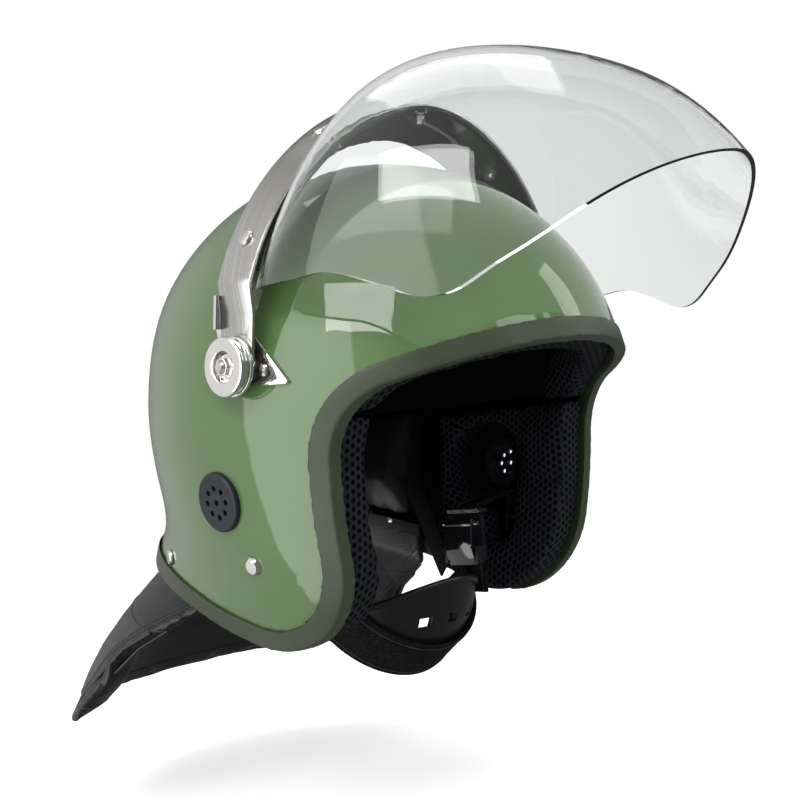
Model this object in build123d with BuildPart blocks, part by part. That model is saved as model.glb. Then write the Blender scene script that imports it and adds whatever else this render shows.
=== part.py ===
"""Riot helmet with a raised clear visor, a padded neck guard and a chin cup.

Millimetres, +Z up, -Y towards the wearer's front, +X towards the wearer's left.
The origin is the middle of the head opening, level with the lowest point of the cheek rims.
"""
from math import comb, cos, pi, radians, sin, sqrt
import os

from build123d import *

os.makedirs("parts", exist_ok=True)

# Shell
shell_half_width = 119.8
shell_half_length = 144.65
shell_widest_height = 115.4
shell_crown_rise = 138.6
shell_lower_semi_height = 180.0
shell_center_shift = -2.15
shell_lean_share = 0.06
shell_crown_power_share = 2.11
shell_wall = 4.0
shell_floor_depth = 18.0
section_spacing = 12.6
crown_level_shares = (0, 0.25, 0.48, 0.68, 0.83, 0.93, 0.985)
section_point_count = 22
clearance = 0.3
overrun = 10.0

# Side view of the opening: brow line, cheek line and lower rim line
temple_corner = (-71.6, 117.4)
brow_slope_share = 0.297
temple_radius = 36.0
cheek_corner = (-57.5, -17.1)
cheek_radius = 52.0
rim_slope_share = 0.335
rim_height_at_center = 2.2
outline_reach = 400.0

# Flared collar round the nape
collar_center = 22.0
collar_half_width = 100.0
collar_rear_reach = 133.0
collar_front_reach = 70.0
collar_power_share = 2.3
crease_half_width = 101.0
crease_rear_reach = 115.0
crease_front_reach = 66.0
crease_height_at_center = 12.5
crease_slope_share = 0.52
crease_softness = 10.0
collar_least_height = 6.0
collar_run_on_share = 1.4
collar_blend_height = 60.0

# Rubber edge trim
trim_lip = 2.0
trim_web = 2.0
trim_depth = 10.0
glue_gap = 0.15

# Liner and pads
liner_thickness = 16.0
liner_floor = 118.0
crown_pad_thickness = 6.0
pad_inset = shell_wall + trim_lip + clearance
cheek_pad_inset = 26.0
cheek_pad_rear = 36.0
ear_pocket_radius = 27.0
brow_pad_inset = 24.0
nape_pad_inset = 20.0
nape_pad_floor_gap = 25.0

# Ear caps
ear_y = 1.5
ear_z = 77.9
ear_cap_radius = 15.0
ear_cap_rise = 2.2
ear_boss_radius = 12.0
ear_boss_wall = 2.0
ear_boss_length = 9.0
ear_hole_radius = 1.5
ear_hole_circle = 7.2
ear_hole_count = 8
ear_clip_radius = 15.0
ear_clip_thickness = 1.6
ear_fit_gap = 0.1

# Visor pivots
pivot_y = -25.5
pivot_z = 141.0
pivot_bolt_radius = 3.0
bolt_fit_gap = 0.08
plate_thickness = 1.2
plate_boss_radius = 8.0
plate_screw_reach = 11.2
plate_screw_drop = 3.0
plate_screw_radius = 1.8
plate_screw_head_radius = 2.8
plate_outer_x = 118.9
stop_thickness = 1.8
washer_radius = 8.0
washer_thickness = 0.7
knob_radius = 14.2
knob_thickness = 7.6
knob_groove_depth = 1.8
knob_groove_width = 2.8
knob_dish_radius = 7.5
knob_dish_depth = 3.5
nut_across = 8.0
nut_thickness = 4.2

# Visor frame
bail_lean = 10.2
bail_width = 23.0
bail_thickness = 1.8
bail_half_width = 126.5
bail_top = 141.5
bail_base = 20.0
bail_power_share = 1.8
joggle_top = 33.0
joggle_drop = 8.0
seal_thickness = 2.0
seal_end_height = 44.0
seal_lip_drop = 15.5
seal_side_drop = 4.0
seal_lip_reach = 18.0
seal_rear_margin = 3.0
bail_turn_count = 25
screw_turn_shares = (-0.76, -0.4, 0, 0.4, 0.76)
frame_screw_radius = 2.0
frame_screw_head_radius = 4.2
frame_screw_head_height = 1.5
frame_nut_radius = 4.0
frame_nut_height = 2.0

# Visor
visor_thickness = 3.0
visor_reach = 200.0
visor_crown = 158.5
visor_half_width = 126.0
visor_section_count = 8
visor_control_shares = (
    (0.868, 0.972, 1.8), (1.04, 1.05, 3.2), (1.0, 0.98, 2.7), (0.975, 0.81, 2.2), (0.86, 0.61, 1.9), (0.56, 0.43, 1.6),
)
visor_edge_shares = (
    (-0.043, 0.23), (0.058, 0.232), (0.125, 0.243), (0.225, 0.262), (0.3, 0.279), (0.375, 0.266),
    (0.45, 0.24), (0.515, 0.221), (0.575, 0.237), (0.635, 0.297), (0.7, 0.366), (0.775, 0.463),
    (0.85, 0.557), (0.91, 0.619), (0.96, 0.66),
)

# Seats for trim and pads along the brow
pad_setback = 3.0
brow_pad_band = 30.0
brow_pad_floor = 114.0
brow_pad_rear = -48.0
crown_pad_floor = 205.0
nape_pad_front = 60.0
cheek_pad_top = 112.0

# Ear cap details
ear_cap_round = 1.5
ear_clip_drop = 5.3

# Pivot stack details
pivot_bore_start = 100.0
plate_outline_shares = ((-0.97, -0.39), (0.3, -0.31), (0.46, 0.25), (0.62, 1.1), (0.33, 1.16), (0.0, 0.8))
plate_reach = 28.0
plate_corner_radius = 1.0
plate_screw_head_height = 0.8
plate_screw_length = 5.4
stop_base = 17.0
stop_height = 16.0
stop_outer_x = 124.5
bolt_head_x = 106.5
bolt_head_radius = 7.0
bolt_head_thickness = 2.0
bolt_end_x = 131.8
bolt_end_chamfer = 0.8
backing_radius = 9.0
bail_inner_x = 119.8
knob_lip_round = 1.4
knob_dish_taper = 20.0

# Frame screw details
frame_hole_depth = 16.0
screw_seat_gap = 0.1
nut_seat_gap = 0.35
frame_screw_length = 11.5
frame_screw_head_taper = 30.0
flange_rear_share = -0.74
flange_front_share = 1.03

# Chin harness
rivet_y = -11.5
rivet_z = 45.8
rivet_radius = 2.4
rivet_head_radius = 5.0
rivet_head_height = 2.2
rivet_head_taper = 35.0
rivet_spacer = 2.4
rivet_length = 10.6
strap_width = 20.0
strap_thickness = 1.6
strap_fold_rise = 14.0
strap_fold_radius = 3.0
strap_slot_gap = 2.0
strap_slot_shift = 6.0
strap_slot_height = 38.0
strap_layer_drop = 0.4
strap_hang_rise = 36.0
strap_end_drop = 14.0
chin_center_y = 8.0
chin_center_z = 20.0
chin_radius = 50.3
cup_thickness = 2.5
cup_half_width = 46.0
cup_end_drop = 8.0
cup_top_rise = 2.0
cup_depth = 38.0
cup_slot_drop = 18.0
cup_slot_pitch = 18.0
cup_slot_width = 7.0
cup_slot_height = 5.0
band_width = 28.0
band_tilt = 37.0
band_end_rise = -6.0
rear_leg_y = 54.0
rear_leg_z = 78.0
rear_leg_end_y = 12.0
rear_leg_layers = 5

# Cam buckle
buckle_z = 38.0
buckle_width = 26.0
buckle_height = 28.0
buckle_corner = 3.0
buckle_base = 2.0
buckle_cheek = 2.6
buckle_cheek_length = 10.0
buckle_pin_rise = 9.0
buckle_pin_height = 3.6
buckle_pin_radius = 1.3
lever_thickness = 1.8
lever_length = 24.0
lever_bow = 2.2
ring_wire = 2.2
ring_slot = 2.6
ring_height = 52.6

# Neck guard
guard_turn_count = 6
guard_section_shares = (
    (0.0, 0.6), (0.14, 0.8), (0.28, 0.95), (0.45, 1.0), (0.62, 1.0), (0.8, 0.9), (1.0, 0.45),
)
guard_top_turn_share = 0.378
guard_hem_turn_share = 0.228
guard_hem_half_width = 158.0
guard_hem_rear_reach = 197.0
guard_hem_height = -42.0
guard_top_rise = 21.0
guard_knee_drop = 2.5
guard_top_thickness = 6.0
guard_body_thickness = 11.0
batten_thickness = 1.5
batten_height = 7.0
neck_screw_turn_shares = (0.817, 0.62)
neck_screw_rise = 18.0
neck_screw_length = 14.6
neck_screw_seat = 0.5
neck_screw_radius = 2.0
neck_screw_head_radius = 4.5
neck_screw_head_height = 1.4


def form_radius(turn, level, inset):
    """Distance from the form's middle to its surface at one turn round Z and one level, and that middle."""
    if level > shell_widest_height:
        share = min((level - shell_widest_height) / (shell_crown_rise - inset), 1)
        grow = (1 - share ** shell_crown_power_share) ** (1 / shell_crown_power_share)
    else:
        grow = sqrt(1 - ((shell_widest_height - level) / (shell_lower_semi_height - inset)) ** 2)
    half_x = (shell_half_width - inset) * grow
    half_y = (shell_half_length - inset) * grow
    dome_center = shell_center_shift + shell_lean_share * (level - shell_widest_height)
    blend = min(1, max(0, (shell_widest_height - level) / collar_blend_height))
    center = dome_center + (collar_center - dome_center) * blend * blend * (3 - 2 * blend)
    c = cos(turn)
    s = sin(turn)
    offset_y = center - dome_center
    square = (c / half_x) ** 2 + (s / half_y) ** 2
    linear = 2 * offset_y * s / half_y ** 2
    constant = (offset_y / half_y) ** 2 - 1
    dome = (-linear + sqrt(linear ** 2 - 4 * square * constant)) / (2 * square)
    if blend < 0.5:
        return dome, center
    crease_reaches = (crease_half_width, crease_rear_reach, crease_front_reach)
    crease = oval_radius(turn, *(reach - inset for reach in crease_reaches))
    collar_reaches = (collar_half_width, collar_rear_reach, collar_front_reach)
    rim = oval_radius(turn, *(reach - inset for reach in collar_reaches))
    crease_z = crease_height_at_center + crease_slope_share * (collar_center + crease * s)
    rim_z = rim_height_at_center + rim_slope_share * (collar_center + rim * s)
    share = (crease_z - level) / max(crease_z - rim_z, collar_least_height)
    if share < -collar_run_on_share:
        return dome, center
    collar = crease + min(share, collar_run_on_share) * (rim - crease)
    near = max(crease_softness - abs(dome - collar), 0)
    return max(dome, collar) + near ** 2 / (4 * crease_softness), center


def oval_radius(turn, half_x, rear, front):
    """Radius of a full oval that reaches further to the rear than to the front."""
    reach = rear if sin(turn) > 0 else front
    power = collar_power_share
    return ((abs(cos(turn)) / half_x) ** power + (abs(sin(turn)) / reach) ** power) ** (-1 / power)


def head_form(inset):
    """Solid of the whole helmet outline, drawn in by inset."""
    levels = []
    level = -shell_floor_depth
    while level < shell_widest_height - section_spacing / 2:
        levels.append(level)
        level += section_spacing
    for share in crown_level_shares:
        levels.append(shell_widest_height + (shell_crown_rise - inset) * sin(share * pi / 2))
    with BuildPart() as form:
        for level in levels:
            points = []
            for step in range(section_point_count):
                turn = 2 * pi * step / section_point_count
                radius, center = form_radius(turn, level, inset)
                points.append((radius * cos(turn), center + radius * sin(turn)))
            with BuildSketch(Plane.XY.offset(level)):
                with BuildLine():
                    Spline(points, periodic=True)
                make_face()
        loft()
    return form.part


def edge_region(shift):
    """Side view of all that lies behind the face opening and above the rim, grown by shift."""
    brow_front = (temple_corner[0] - outline_reach, temple_corner[1] + outline_reach * brow_slope_share)
    rim_rear = (cheek_corner[0] + outline_reach, cheek_corner[1] + outline_reach * rim_slope_share)
    with BuildSketch() as region:
        with BuildLine():
            FilletPolyline(
                brow_front, temple_corner, cheek_corner, rim_rear,
                radius=[temple_radius, cheek_radius],
            )
            Polyline(rim_rear, (rim_rear[0], outline_reach), (brow_front[0], outline_reach), brow_front)
        make_face()
        if shift != 0:
            offset(amount=shift, kind=Kind.INTERSECTION)
    return region.sketch


def side_box(y_low, y_high, z_low, z_high):
    """Side-view rectangle."""
    with BuildSketch() as box:
        with Locations(((y_low + y_high) / 2, (z_low + z_high) / 2)):
            Rectangle(y_high - y_low, z_high - z_low)
    return box.sketch


def surface_x(y, z, inset):
    """Half width of the form at one place of the side view."""
    low = -pi / 2
    high = pi / 2
    for _ in range(50):
        turn = (low + high) / 2
        radius, center = form_radius(turn, z, inset)
        if center + radius * sin(turn) < y:
            low = turn
        else:
            high = turn
    return radius * cos(turn)


def surface_plane(y, z, inset=0):
    """Plane on the right-hand side of the form, facing out, with its X towards the rear."""
    step = clearance
    slope_y = (surface_x(y + step, z, inset) - surface_x(y - step, z, inset)) / (2 * step)
    slope_z = (surface_x(y, z + step, inset) - surface_x(y, z - step, inset)) / (2 * step)
    return Plane(origin=(-surface_x(y, z, inset), y, z), x_dir=(-slope_y, 1, 0), z_dir=(-1, -slope_y, -slope_z))


def form_at(inset):
    """The outline at one inset, made once."""
    if inset not in forms:
        forms[inset] = head_form(inset)
    return forms[inset]


def layer(near, far, outline):
    """Part of the wall of the outline between two insets that lies inside one side view."""
    with BuildPart() as band:
        add(form_at(near))
        with BuildSketch(Plane.YZ):
            add(outline)
        extrude(amount=half_span, both=True, mode=Mode.INTERSECT)
        add(form_at(far), mode=Mode.SUBTRACT)
    return band.part


def mirrored(plane):
    """The same plane on the other side of the head."""
    return Plane(
        origin=(-plane.origin.X, plane.origin.Y, plane.origin.Z),
        x_dir=(-plane.x_dir.X, plane.x_dir.Y, plane.x_dir.Z),
        z_dir=(-plane.z_dir.X, plane.z_dir.Y, plane.z_dir.Z),
    )


def bore(plane, radius, depth):
    """Round cutter that reaches both ways from a plane."""
    with BuildPart() as cutter:
        with BuildSketch(plane):
            Circle(radius)
        extrude(amount=depth, both=True)
    return cutter.part


def write_pair(right, name):
    """Write a right-hand piece and its mirror image."""
    right.part.label = name + "_right"
    export_step(right.part, f"parts/{name}_right.step")
    with BuildPart() as left:
        mirror(right.part, about=Plane.YZ)
    left.part.label = name + "_left"
    export_step(left.part, f"parts/{name}_left.step")


def arch_point(turn, drop):
    """Point of the frame arch at one turn from the crown, drawn in by drop, and its normal."""
    half = bail_half_width
    rise = bail_top - bail_base
    power = bail_power_share
    c = max(cos(turn), 0)
    s = sin(turn)
    x = half * abs(s) ** (2 / power) * (1 if s > 0 else -1)
    h = bail_base + rise * c ** (2 / power)
    normal_x = abs(x / half) ** (power - 1) / half * (1 if s > 0 else -1)
    normal_h = ((h - bail_base) / rise) ** (power - 1) / rise
    length = sqrt(normal_x ** 2 + normal_h ** 2)
    return x - drop * normal_x / length, h - drop * normal_h / length, normal_x / length, normal_h / length


def arch_curve(drop, low, droop=0):
    """Points of one layer of the arch, right to left above one height. The droop grows to the crown."""
    points = []
    for step in range(-bail_turn_count, bail_turn_count + 1):
        turn = step / bail_turn_count * pi / 2
        x, h, _, _ = arch_point(turn, drop + droop * cos(turn) ** 2)
        if h >= low:
            points.append((x, h))
    return points


def screw_plane(x, h, normal_x, normal_h):
    """Plane on the outside of the arch in the frame's own leaning plane."""
    return Plane(
        origin=bail_front.from_local_coords((x, h, 0)),
        x_dir=forward,
        z_dir=bail_front.from_local_coords((normal_x, normal_h, 0)) - pivot,
    )


def arch_band(outer_drop, inner_drop, low, droop=0):
    """Closed sketch of one layer of the arch, cut square at one height."""
    outer = arch_curve(outer_drop, low, droop)
    inner = arch_curve(inner_drop, low, droop)
    with BuildSketch() as band:
        with BuildLine():
            Spline(outer)
            Spline(inner)
            Line(outer[0], inner[0])
            Line(outer[-1], inner[-1])
        make_face()
    return band.sketch


forms = {}
half_span = shell_half_width + overrun
lean = radians(bail_lean)
forward = Vector(0, -cos(lean), -sin(lean))
pivot = Vector(0, pivot_y, pivot_z)
pivot_side = Plane(origin=pivot, x_dir=(0, 1, 0), z_dir=(-1, 0, 0))
pivot_hole_radius = pivot_bolt_radius + bolt_fit_gap
bail_front = Plane(origin=pivot, x_dir=(1, 0, 0), z_dir=forward)
bail_side = Plane(origin=pivot, x_dir=forward, z_dir=(-1, 0, 0))
ear_plane = surface_plane(ear_y, ear_z)
rivet_plane = surface_plane(rivet_y, rivet_z)
plate_screw_y = pivot_y - plate_screw_reach
plate_screw_z = pivot_z - plate_screw_drop
plate_screw_plane = surface_plane(plate_screw_y, plate_screw_z)
plate_screw_seat = glue_gap + plate_thickness + bolt_fit_gap
neck_screw_planes = []
neck_hole_radius = neck_screw_radius + bolt_fit_gap
for turn_share in neck_screw_turn_shares:
    turn = turn_share * pi
    rim = oval_radius(turn, collar_half_width, collar_rear_reach, collar_front_reach)
    screw_z = rim_height_at_center + rim_slope_share * (collar_center + rim * sin(turn)) + neck_screw_rise
    radius, center = form_radius(turn, screw_z, 0)
    neck_screw_planes.append(surface_plane(center + radius * sin(turn), screw_z))

# Shell
with BuildPart() as shell:
    add(layer(0, shell_wall, edge_region(-trim_web)))
    for plane in (pivot_side, mirrored(pivot_side)):
        with BuildSketch(plane.offset(pivot_bore_start)):
            Circle(pivot_bolt_radius + bolt_fit_gap)
        extrude(amount=half_span - pivot_bore_start, mode=Mode.SUBTRACT)
    for plane in (ear_plane, mirrored(ear_plane)):
        add(bore(plane, ear_boss_radius + ear_fit_gap, ear_boss_length), mode=Mode.SUBTRACT)
    for plane in (rivet_plane, mirrored(rivet_plane)):
        add(bore(plane, rivet_radius + bolt_fit_gap, ear_boss_length), mode=Mode.SUBTRACT)
    for plane in (plate_screw_plane, mirrored(plate_screw_plane)):
        add(bore(plane, plate_screw_radius + bolt_fit_gap, ear_boss_length), mode=Mode.SUBTRACT)
    for neck_plane in neck_screw_planes:
        for plane in (neck_plane, mirrored(neck_plane)):
            add(bore(plane, neck_hole_radius, ear_boss_length), mode=Mode.SUBTRACT)
shell.part.label = "shell"
export_step(shell.part, "parts/shell.step")

# Rubber trim clipped over the shell's edge
with BuildSketch() as trim_outline:
    add(edge_region(0))
    add(edge_region(-trim_web - trim_depth), mode=Mode.SUBTRACT)
with BuildPart() as edge_trim:
    add(layer(-trim_lip, shell_wall + trim_lip, trim_outline.sketch))
    add(layer(-glue_gap, shell_wall + glue_gap, edge_region(glue_gap - trim_web)), mode=Mode.SUBTRACT)
edge_trim.part.label = "edge_trim"
export_step(edge_trim.part, "parts/edge_trim.step")

# Impact liner under the crown
with BuildSketch() as liner_outline:
    add(edge_region(-brow_pad_band - clearance))
    add(side_box(-outline_reach, outline_reach, liner_floor, outline_reach), mode=Mode.INTERSECT)
with BuildPart() as impact_liner:
    add(layer(shell_wall + clearance, shell_wall + clearance + liner_thickness, liner_outline.sketch))
    for plane in (pivot_side, mirrored(pivot_side)):
        with BuildSketch(plane.offset(pivot_bore_start)):
            Circle(backing_radius + clearance)
        extrude(amount=half_span - pivot_bore_start, mode=Mode.SUBTRACT)
impact_liner.part.label = "impact_liner"
export_step(impact_liner.part, "parts/impact_liner.step")

# Comfort pads
crown_pad_inset = shell_wall + liner_thickness + 2 * clearance
with BuildPart() as crown_pad:
    add(layer(
        crown_pad_inset,
        crown_pad_inset + crown_pad_thickness,
        side_box(-outline_reach, outline_reach, crown_pad_floor, outline_reach),
    ))
crown_pad.part.label = "crown_pad"
export_step(crown_pad.part, "parts/crown_pad.step")

with BuildSketch() as brow_outline:
    add(edge_region(-pad_setback))
    add(edge_region(-brow_pad_band), mode=Mode.SUBTRACT)
    add(side_box(-outline_reach, brow_pad_rear, brow_pad_floor, outline_reach), mode=Mode.INTERSECT)
with BuildPart() as brow_pad:
    add(layer(pad_inset, brow_pad_inset, brow_outline.sketch))
brow_pad.part.label = "brow_pad"
export_step(brow_pad.part, "parts/brow_pad.step")

with BuildSketch() as nape_outline:
    add(edge_region(-nape_pad_floor_gap))
    add(side_box(nape_pad_front, outline_reach, -outline_reach, liner_floor - clearance), mode=Mode.INTERSECT)
with BuildPart() as nape_pad:
    add(layer(shell_wall + clearance, nape_pad_inset, nape_outline.sketch))
nape_pad.part.label = "nape_pad"
export_step(nape_pad.part, "parts/nape_pad.step")

with BuildSketch() as cheek_outline:
    add(edge_region(-pad_setback))
    add(side_box(-outline_reach, cheek_pad_rear, -outline_reach, cheek_pad_top), mode=Mode.INTERSECT)
    with Locations((ear_y, ear_z)):
        Circle(ear_pocket_radius, mode=Mode.SUBTRACT)
    with Locations((rivet_y, rivet_z + strap_slot_shift)):
        Rectangle(strap_width + 2 * strap_slot_gap, strap_slot_height, mode=Mode.SUBTRACT)
with BuildPart() as cheek_pad:
    add(layer(pad_inset, cheek_pad_inset, cheek_outline.sketch))
    with BuildSketch(Plane.YZ):
        Rectangle(2 * outline_reach, 2 * outline_reach)
    extrude(amount=half_span, mode=Mode.SUBTRACT)
write_pair(cheek_pad, "cheek_pad")

# Ear caps clipped through the shell
ear_seat = form_at(-glue_gap)
with BuildPart() as ear_cap:
    with BuildSketch(ear_plane.offset(-ear_cap_rise)):
        Circle(ear_cap_radius)
    extrude(amount=2 * ear_cap_rise)
    outermost = max(ear_cap.edges(), key=lambda edge: (edge.center() - ear_plane.origin).dot(ear_plane.z_dir))
    fillet(outermost, ear_cap_round)
    add(ear_seat, mode=Mode.SUBTRACT)
    with BuildSketch(ear_plane.offset(-ear_boss_length)):
        Circle(ear_boss_radius)
    extrude(amount=ear_boss_length + ear_cap_rise / 2)
    with BuildSketch(ear_plane.offset(-ear_boss_length)):
        Circle(ear_boss_radius - ear_boss_wall)
    extrude(amount=ear_boss_length, mode=Mode.SUBTRACT)
    with BuildSketch(ear_plane):
        Circle(ear_hole_radius)
        with PolarLocations(ear_hole_circle, ear_hole_count):
            Circle(ear_hole_radius)
    extrude(amount=ear_cap_rise + overrun, mode=Mode.SUBTRACT)
write_pair(ear_cap, "ear_cap")

with BuildPart() as ear_clip:
    with BuildSketch(ear_plane.offset(-ear_clip_drop)):
        Circle(ear_clip_radius)
        Circle(ear_boss_radius + ear_fit_gap, mode=Mode.SUBTRACT)
    extrude(amount=-ear_clip_thickness)
write_pair(ear_clip, "ear_clip")

# Pivot plates with the stop tab behind the frame
plate_points = [(pivot_y + y * plate_reach, pivot_z + z * plate_reach) for y, z in plate_outline_shares]
with BuildSketch() as plate_outline:
    with BuildLine():
        FilletPolyline(*plate_points, close=True, radius=plate_corner_radius)
    make_face()
with BuildPart() as pivot_plate:
    with BuildSketch(Plane.YZ.offset(-plate_outer_x)):
        add(plate_outline.sketch)
    extrude(amount=plate_outer_x - pivot_bore_start)
    with BuildSketch(plate_screw_plane.offset(glue_gap + plate_thickness)):
        Rectangle(2 * outline_reach, 2 * outline_reach)
    extrude(amount=-pivot_bore_start, mode=Mode.INTERSECT)
    with BuildSketch(pivot_side.offset(pivot_bore_start)):
        Circle(plate_boss_radius)
    extrude(amount=plate_outer_x - pivot_bore_start)
    with BuildSketch(bail_side.offset(pivot_bore_start)):
        with Locations((-bail_width / 2 - clearance - stop_thickness / 2, stop_base + stop_height / 2)):
            Rectangle(stop_thickness, stop_height)
    extrude(amount=stop_outer_x - pivot_bore_start)
    add(form_at(-glue_gap), mode=Mode.SUBTRACT)
    add(bore(pivot_side.offset(plate_outer_x), pivot_hole_radius, overrun), mode=Mode.SUBTRACT)
    add(bore(plate_screw_plane, plate_screw_radius + bolt_fit_gap, overrun), mode=Mode.SUBTRACT)
write_pair(pivot_plate, "pivot_plate")

with BuildPart() as plate_screws:
    with BuildSketch(plate_screw_plane.offset(plate_screw_seat)):
        Circle(plate_screw_head_radius)
    extrude(amount=plate_screw_head_height)
    with BuildSketch(plate_screw_plane.offset(plate_screw_seat)):
        Circle(plate_screw_radius)
    extrude(amount=-plate_screw_length)
    mirror(about=Plane.YZ)
plate_screws.part.label = "plate_screws"
export_step(plate_screws.part, "parts/plate_screws.step")

# Pivot bolts, wedge washers, friction washers, knobs and nuts
with BuildPart() as pivot_bolt:
    with BuildSketch(pivot_side.offset(bolt_head_x)):
        Circle(bolt_head_radius)
    extrude(amount=bolt_head_thickness)
    with BuildSketch(pivot_side.offset(bolt_head_x)):
        Circle(pivot_bolt_radius)
    extrude(amount=bolt_end_x - bolt_head_x)
    chamfer(pivot_bolt.edges().sort_by(Axis.X)[0], bolt_end_chamfer)
write_pair(pivot_bolt, "pivot_bolt")

with BuildPart() as pivot_backing:
    with BuildSketch(pivot_side.offset(bolt_head_x + bolt_head_thickness + glue_gap)):
        Circle(backing_radius)
        Circle(pivot_bolt_radius + bolt_fit_gap, mode=Mode.SUBTRACT)
    extrude(amount=backing_radius)
    add(form_at(shell_wall + glue_gap), mode=Mode.INTERSECT)
write_pair(pivot_backing, "pivot_backing")

with BuildPart() as friction_washer:
    with BuildSketch(pivot_side.offset(plate_outer_x)):
        Circle(washer_radius)
        Circle(pivot_bolt_radius + bolt_fit_gap, mode=Mode.SUBTRACT)
    extrude(amount=washer_thickness)
write_pair(friction_washer, "friction_washer")

knob_inner_x = bail_inner_x + bail_thickness + clearance
knob_outer_x = knob_inner_x + knob_thickness
groove_low = knob_inner_x + (knob_thickness - knob_groove_width) / 2
with BuildPart() as pivot_knob:
    with BuildSketch(pivot_side.offset(knob_inner_x)):
        Circle(knob_radius)
    extrude(amount=knob_thickness)
    fillet(pivot_knob.edges().filter_by(GeomType.CIRCLE), knob_lip_round)
    with BuildSketch(pivot_side.offset(groove_low)):
        Circle(knob_radius + overrun)
        Circle(knob_radius - knob_groove_depth, mode=Mode.SUBTRACT)
    extrude(amount=knob_groove_width, mode=Mode.SUBTRACT)
    with BuildSketch(pivot_side.offset(knob_outer_x)):
        Circle(knob_dish_radius)
    extrude(amount=-knob_dish_depth, taper=knob_dish_taper, mode=Mode.SUBTRACT)
    add(bore(pivot_side.offset(knob_inner_x), pivot_hole_radius, knob_thickness + overrun), mode=Mode.SUBTRACT)
write_pair(pivot_knob, "pivot_knob")

with BuildPart() as pivot_nut:
    with BuildSketch(pivot_side.offset(knob_outer_x - knob_dish_depth + clearance)):
        RegularPolygon(nut_across / 2, 6, major_radius=False)
        Circle(pivot_bolt_radius + bolt_fit_gap, mode=Mode.SUBTRACT)
    extrude(amount=nut_thickness)
write_pair(pivot_nut, "pivot_nut")

# Steel visor frame
arch_low = joggle_top + clearance
outer_arch = arch_curve(0, arch_low)
inner_arch = arch_curve(bail_thickness, arch_low)
leg_outer = bail_inner_x + bail_thickness
outer_foot = [(leg_outer, joggle_top - joggle_drop), (leg_outer, -bail_width)]
inner_foot = [(bail_inner_x, joggle_top - joggle_drop), (bail_inner_x, -bail_width)]
with BuildPart() as visor_bail:
    with BuildSketch(bail_front):
        with BuildLine():
            Spline(outer_arch)
            Spline(inner_arch)
            for side in (-1, 1):
                outer_end = outer_arch[0] if side < 0 else outer_arch[-1]
                inner_end = inner_arch[0] if side < 0 else inner_arch[-1]
                outer_leg = [(side * x, h) for x, h in outer_foot]
                inner_leg = [(side * x, h) for x, h in inner_foot]
                Polyline(outer_end, *outer_leg, inner_leg[1], inner_leg[0], inner_end)
        make_face()
    extrude(amount=bail_width / 2, both=True)
    with BuildSketch(bail_side):
        Circle(bail_width / 2)
        with Locations((0, bail_top / 2)):
            Rectangle(bail_width, bail_top)
        with Locations((0, bail_top)):
            Rectangle(bail_width, bail_top)
        Circle(pivot_bolt_radius + bolt_fit_gap, mode=Mode.SUBTRACT)
    extrude(amount=half_span, both=True, mode=Mode.INTERSECT)
    for turn_share in screw_turn_shares:
        hole_plane = screw_plane(*arch_point(turn_share * pi / 2, 0))
        add(bore(hole_plane, frame_screw_radius + bolt_fit_gap, frame_hole_depth), mode=Mode.SUBTRACT)
visor_bail.part.label = "visor_bail"
export_step(visor_bail.part, "parts/visor_bail.step")

# Rubber seal between the frame and the visor, with a lip that hangs over the shell
seal_inner = bail_thickness + seal_thickness
with BuildPart() as bail_seal:
    with BuildSketch(bail_front):
        add(arch_band(bail_thickness, seal_inner, seal_end_height))
    extrude(amount=bail_width / 2, both=True)
    with BuildSketch(bail_front.offset(seal_rear_margin - bail_width / 2)):
        add(arch_band(bail_thickness, seal_inner, seal_end_height))
    with BuildSketch(bail_front.offset(-seal_lip_reach)):
        add(arch_band(
            bail_thickness + seal_side_drop,
            seal_inner + seal_side_drop,
            seal_end_height,
            seal_lip_drop - seal_side_drop,
        ))
    loft(ruled=True)
    for turn_share in screw_turn_shares:
        hole_plane = screw_plane(*arch_point(turn_share * pi / 2, 0))
        add(bore(hole_plane, frame_screw_radius + bolt_fit_gap, frame_hole_depth), mode=Mode.SUBTRACT)
bail_seal.part.label = "bail_seal"
export_step(bail_seal.part, "parts/bail_seal.step")

# Clear visor
flange_drop = seal_inner + glue_gap


def visor_profile(travel):
    """Crown, width and squareness shares of the visor at a share of the way from its flange to its tip."""
    order = len(visor_control_shares) - 1
    weights = [comb(order, i) * travel**i * (1 - travel) ** (order - i) for i in range(order + 1)]
    return [sum(weight * row[column] for weight, row in zip(weights, visor_control_shares)) for column in range(3)]


def visor_form(inset):
    """Solid of the visor's outline drawn in by inset, from the flange behind the frame to the front edge."""
    flange_points = arch_curve(flange_drop + inset, 0)
    flange_rear = flange_rear_share * bail_width / 2
    flange_front = flange_front_share * bail_width / 2
    with BuildSketch() as flange_outline:
        with BuildLine():
            Spline(flange_points)
            Line(flange_points[0], flange_points[-1])
        make_face()
    with BuildPart() as form:
        with BuildSketch(bail_front.offset(flange_rear)):
            add(flange_outline.sketch)
        extrude(amount=flange_front - flange_rear)
        with BuildSketch(bail_front.offset(flange_front)):
            add(flange_outline.sketch)
        for section in range(1, visor_section_count + 1):
            travel = section / visor_section_count
            crown_share, width_share, power_share = visor_profile(travel)
            half = visor_half_width * width_share - inset
            rise = visor_crown * crown_share - bail_base - inset
            points = []
            for step in range(-bail_turn_count, bail_turn_count + 1):
                turn = step / bail_turn_count * pi / 2
                x = half * abs(sin(turn)) ** (2 / power_share) * (1 if step > 0 else -1)
                points.append((x, bail_base + rise * max(cos(turn), 0) ** (2 / power_share)))
            with BuildSketch(bail_front.offset(flange_front + travel * (visor_reach - flange_front))):
                with BuildLine():
                    Spline(points)
                    Line(points[0], points[-1])
                make_face()
        loft()
    return form.part


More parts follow.
